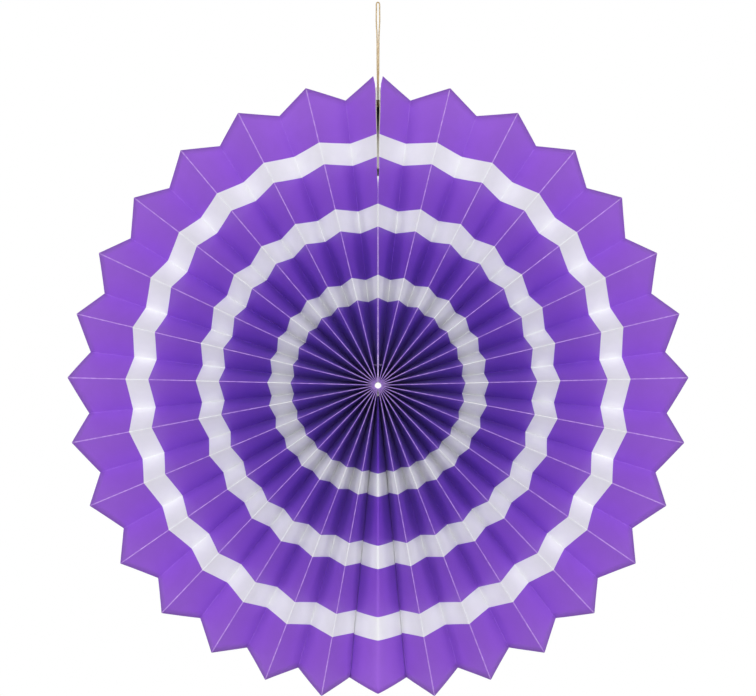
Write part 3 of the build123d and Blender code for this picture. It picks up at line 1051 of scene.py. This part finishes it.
def twisted_yarn(name, path, diameter, lay, material, strands=3, sides=8, closed=False):
    """Strands wound round each other along a line, as one mesh with its own facts."""
    step = min(lay / 12, diameter * 0.45)
    line, total = evenly(path, step)
    if closed:
        line = line[:-1]
    frames = travelling_frames(line, closed)
    turns = round(total / lay) if closed else total / lay
    wire = diameter / 2 / (1 + 1 / math.sin(math.pi / strands)) * 1.12
    orbit = diameter / 2 - wire
    vertices, faces, runs, rounds, numbers = [], [], [], [], []
    for strand in range(strands):
        first = len(vertices)
        for number, (point, side, other) in enumerate(frames):
            part = number / (len(frames) if closed else len(frames) - 1)
            turn = 2 * math.pi * (turns * part + strand / strands)
            out = side * math.cos(turn) + other * math.sin(turn)
            over = side * -math.sin(turn) + other * math.cos(turn)
            middle = point + out * orbit
            for corner in range(sides):
                corner_turn = 2 * math.pi * corner / sides
                vertices.append(
                    middle + (out * math.cos(corner_turn)
                              + over * math.sin(corner_turn)) * wire)
                runs.append(total * part)
                rounds.append(corner_turn)
                numbers.append(float(strand))
        loops = len(frames) if closed else len(frames) - 1
        for number in range(loops):
            here = first + number * sides
            there = first + (number + 1) % len(frames) * sides
            for corner in range(sides):
                following = (corner + 1) % sides
                faces.append((here + corner, here + following,
                              there + following, there + corner))
        if not closed:
            faces.append(tuple(range(first + sides - 1, first - 1, -1)))
            last = first + (len(frames) - 1) * sides
            faces.append(tuple(range(last, last + sides)))
    mesh = bpy.data.meshes.new(name)
    mesh.from_pydata(vertices, [], faces)
    for label, values in (("run", runs), ("round", rounds), ("strand", numbers)):
        mesh.attributes.new(label, "FLOAT", "POINT").data.foreach_set("value", values)
    mesh.materials.append(material)
    point_outward(mesh)
    return new_piece(name, mesh), total


def knot_line(centre, width, height, count=120):
    """The line of an overhand knot pulled tight round an upright axis."""
    points = []
    for number in range(count):
        turn = 2 * math.pi * number / count
        reach = width * (2 + math.cos(3 * turn)) / 3
        points.append(centre + Vector((
            reach * math.cos(2 * turn),
            reach * math.sin(2 * turn),
            height * math.sin(3 * turn),
        )))
    return points + [points[0].copy()]


# ---------------------------------------------------------------- operators

class ROSETTE_OT_half_sheets(Operator):
    """Pleat the left and right half sheets"""

    bl_idname = "rosette.half_sheets"
    bl_label = "Pleated Half Sheets"

    def execute(self, context):
        scene = context.scene
        printing = scene.rosette_print
        paper, edge = paper_materials(printing)
        sizes, counts = scene.rosette_sheet_sizes, scene.rosette_sheet_counts
        tree, lengths, whole, side = half_sheet_tree(sizes, counts, paper)
        for name, sign in (("right_half_sheet", 1.0), ("left_half_sheet", -1.0)):
            side.default_value = sign
            sheet = grown(
                name.replace("half", "pleated"), tree,
                [(lengths, sizes), (whole, counts), ({"sign": side}, Sign(sign))],
                sizes.paper, edge)
            settle(sheet, "printed_paper", name)
        return {"FINISHED"}


class Sign:
    """Which side of the seam a half sheet is on."""

    def __init__(self, sign):
        self.sign = sign


class ROSETTE_OT_joining_petal(Operator):
    """Arch the joining petal over the flaps at the bottom"""

    bl_idname = "rosette.joining_petal"
    bl_label = "Joining Petal"

    def execute(self, context):
        scene = context.scene
        printing = scene.rosette_print
        paper, edge = paper_materials(printing)
        sizes, counts = scene.rosette_sheet_sizes, scene.rosette_sheet_counts
        tree, lengths, whole = petal_tree(sizes, counts, paper)
        petal = grown("bottom_petal", tree, [(lengths, sizes), (whole, counts)],
                      sizes.paper, edge)
        settle(petal, "printed_paper", "joining_petal")
        return {"FINISHED"}


class ROSETTE_OT_seam(Operator):
    """Finish the boards, the tape and the pad in the seam, the pad painted near black as
    shade
    """

    bl_idname = "rosette.seam"
    bl_label = "Seam Boards, Tape and Pad"

    def execute(self, context):
        printing = context.scene.rosette_print
        card = board_material(printing)
        for name in ("left_end_board", "right_end_board"):
            repaint(name, card)
        repaint("seam_tape", tape_material(printing))
        # The pad is painted near black, as the shade in the gap between the boards.
        repaint("seam_pad", painted_shade_pad_material(printing))
        return {"FINISHED"}


def repaint(name, material):
    """Give a carried-over node its material."""
    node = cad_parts[name]
    piece = node if isinstance(node, bpy.types.Object) else bpy.data.objects[name]
    if not piece.data.materials:
        piece.data.materials.append(material)
    for number in range(len(piece.data.materials)):
        piece.data.materials[number] = material


class ROSETTE_OT_threads(Operator):
    """Twist the threads at the hub and the seam"""

    bl_idname = "rosette.threads"
    bl_label = "Hub and Seam Threads"

    def execute(self, context):
        scene = context.scene
        cord, printing = scene.rosette_cord, scene.rosette_print
        yarn = strand_material("lilac_thread", scaled(printing.thread, 0.6),
                               scaled(printing.thread, 1.2), 3900.0, 0.5)
        low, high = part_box("seam_stitch")
        y, z = (low[1] + high[1]) / 2, (low[2] + high[2]) / 2
        line = [Vector((low[0] + (high[0] - low[0]) * n / 8, y, z)) for n in range(9)]
        stitch, _ = twisted_yarn("seam_stitch_thread", line, cord.thread,
                                 cord.thread_lay, yarn)
        settle(stitch, "thread", "seam_stitch")
        repaint("hub_thread", cad_thread_material(printing))
        return {"FINISHED"}


class ROSETTE_OT_hanging_loop(Operator):
    """Twist the hanging loop and tie its knot"""

    bl_idname = "rosette.hanging_loop"
    bl_label = "Hanging Loop and Knot"

    def execute(self, context):
        scene = context.scene
        cord, printing = scene.rosette_cord, scene.rosette_print
        yarn = strand_material("gold_cord", printing.cord_dark, printing.cord_light,
                               2600.0, 0.45)
        base = cord.knot_height + cord.knot_length / 2
        route = [(x * MM, y * MM, base + z * MM) for x, y, z in LOOP_ROUTE]
        path = spline_points(route, "loop_line")
        loop, total = twisted_yarn("hanging_loop_cord", path, cord.diameter * CORD_FULLNESS,
                                   cord.lay, yarn)
        settle(loop, "cord", "hanging_loop")
        wire = cord.diameter * KNOT_TIGHTNESS
        line = knot_line(Vector((0, 0, cord.knot_height)),
                         (cord.knot_diameter - wire) / 2,
                         (cord.knot_length - wire) / 2)
        knot, _ = twisted_yarn("loop_knot_tied", line, wire, cord.lay, yarn, closed=True)
        settle(knot, "cord", "loop_knot")
        return {"FINISHED"}


class ROSETTE_OT_stage(Operator):
    """Set up the camera, the lamps, the floor and the pale surroundings"""

    bl_idname = "rosette.stage"
    bl_label = "Stage"

    def execute(self, context):
        scene = context.scene
        stage = scene.rosette_stage
        lens = bpy.data.cameras.new("camera")
        lens.lens = stage.lens
        lens.sensor_width = 36.0
        lens.clip_start = 0.02
        camera = bpy.data.objects.new("camera", lens)
        camera.location = (0.0, -stage.distance, stage.height)
        camera.rotation_euler = (math.radians(90) + stage.pitch, 0.0, 0.0)
        scene.collection.objects.link(camera)
        scene.camera = camera

        lamp("front_softbox", (0.0, -2.0, 0.2), 1.3, 1.0, stage.front)
        lamp("top_softbox", (0.0, -1.5, 1.25), 1.6, 0.7, stage.top)
        lamp("left_softbox", (-1.55, -1.35, 0.1), 0.7, 1.5, stage.side)
        lamp("right_softbox", (1.55, -1.35, 0.1), 0.7, 1.5, stage.side)
        pale_world(scene, stage.world)
        pale_floor(stage.floor_drop)
        scene.view_settings.view_transform = "Standard"
        return {"FINISHED"}


def lamp(name, place, width, height, power):
    """A softbox that faces the middle of the disc."""
    light = bpy.data.lights.new(name, "AREA")
    light.shape = "RECTANGLE"
    light.size = width
    light.size_y = height
    light.energy = power
    holder = bpy.data.objects.new(name, light)
    holder.location = place
    holder.rotation_euler = (-Vector(place)).to_track_quat("-Z", "Y").to_euler()
    bpy.context.scene.collection.objects.link(holder)
    return holder


def seen_directly(tree):
    """1 for rays that show the surroundings: straight, mirrored or through something."""
    path = add(tree, "ShaderNodeLightPath")
    seen = most(Field(tree, path.outputs["Is Camera Ray"]), path.outputs["Is Glossy Ray"])
    return most(seen, path.outputs["Is Transmission Ray"])


def pale_world(scene, ambient):
    world = bpy.data.worlds.new("pale_room")
    world.use_nodes = True
    tree = world.node_tree
    tree.nodes["Background"].inputs["Color"].default_value = (1.0, 1.0, 1.0, 1.0)
    strength = mix(ambient, 1.0, seen_directly(tree))
    feed(tree, strength, tree.nodes["Background"].inputs["Strength"])
    scene.world = world


def pale_floor(drop):
    """A round white floor that fades into the pale surroundings."""
    work = bmesh.new()
    bmesh.ops.create_circle(work, cap_ends=True, radius=1.4, segments=96)
    for vertex in work.verts:
        vertex.co.z = -drop
    mesh = bpy.data.meshes.new("floor")
    work.to_mesh(mesh)
    work.free()
    material, tree, shader = start_material("pale_floor", Roughness=0.9)
    x, y, _ = object_coordinates(tree)
    away = hypotenuse(x, y)
    tint = noise(tree, vector_of(tree, x, y, 0.0), 3.0, 3.0)
    base = blend_colour(tree, tint, (0.84, 0.84, 0.84), (0.88, 0.88, 0.88))
    tree.links.new(base, shader.inputs["Base Color"])
    glow = add(tree, "ShaderNodeEmission", {"Strength": 1.0})
    glow.inputs["Color"].default_value = (1.0, 1.0, 1.0, 1.0)
    blend = add(tree, "ShaderNodeMixShader",
                {0: seen_directly(tree) * ramp(away, 0.15, 1.2), 1: shader.outputs[0],
                 2: glow.outputs[0]})
    tree.links.new(blend.outputs[0], tree.nodes["Material Output"].inputs["Surface"])
    mesh.materials.append(material)
    ground = new_piece("floor", mesh)


class ROSETTE_PT_panel(Panel):
    """The rosette's pieces, in the order in which they are made"""

    bl_label = "Paper Fan Rosette"
    bl_idname = "ROSETTE_PT_panel"
    bl_space_type = "VIEW_3D"
    bl_region_type = "UI"
    bl_category = "Rosette"

    def draw(self, context):
        layout = self.layout
        for step in STEPS:
            layout.operator(step.bl_idname)
        for group in GROUPS:
            box = layout.box()
            settings = getattr(context.scene, group)
            for name in settings.__annotations__:
                box.prop(settings, name)


STEPS = (ROSETTE_OT_stage, ROSETTE_OT_hanging_loop, ROSETTE_OT_half_sheets,
         ROSETTE_OT_joining_petal, ROSETTE_OT_seam, ROSETTE_OT_threads)
GROUPS = {
    "rosette_sheet_sizes": RosetteSheetSizes,
    "rosette_sheet_counts": RosetteSheetCounts,
    "rosette_print": RosettePrint,
    "rosette_cord": RosetteCord,
    "rosette_stage": RosetteStage,
}


def register():
    for kind in (*GROUPS.values(), *STEPS, ROSETTE_PT_panel):
        bpy.utils.register_class(kind)
    for name, kind in GROUPS.items():
        setattr(bpy.types.Scene, name, PointerProperty(type=kind))


def unregister():
    for name in GROUPS:
        delattr(bpy.types.Scene, name)
    for kind in reversed((*GROUPS.values(), *STEPS, ROSETTE_PT_panel)):
        bpy.utils.unregister_class(kind)


def main():
    register()
    for build in (paper_grain_group, crease_wear_group, ring_print_group,
                  strand_fibre_group):
        build()
    for step in STEPS:
        group, name = step.bl_idname.split(".")
        getattr(getattr(bpy.ops, group), name)()


if __name__ == "__main__":
    main()
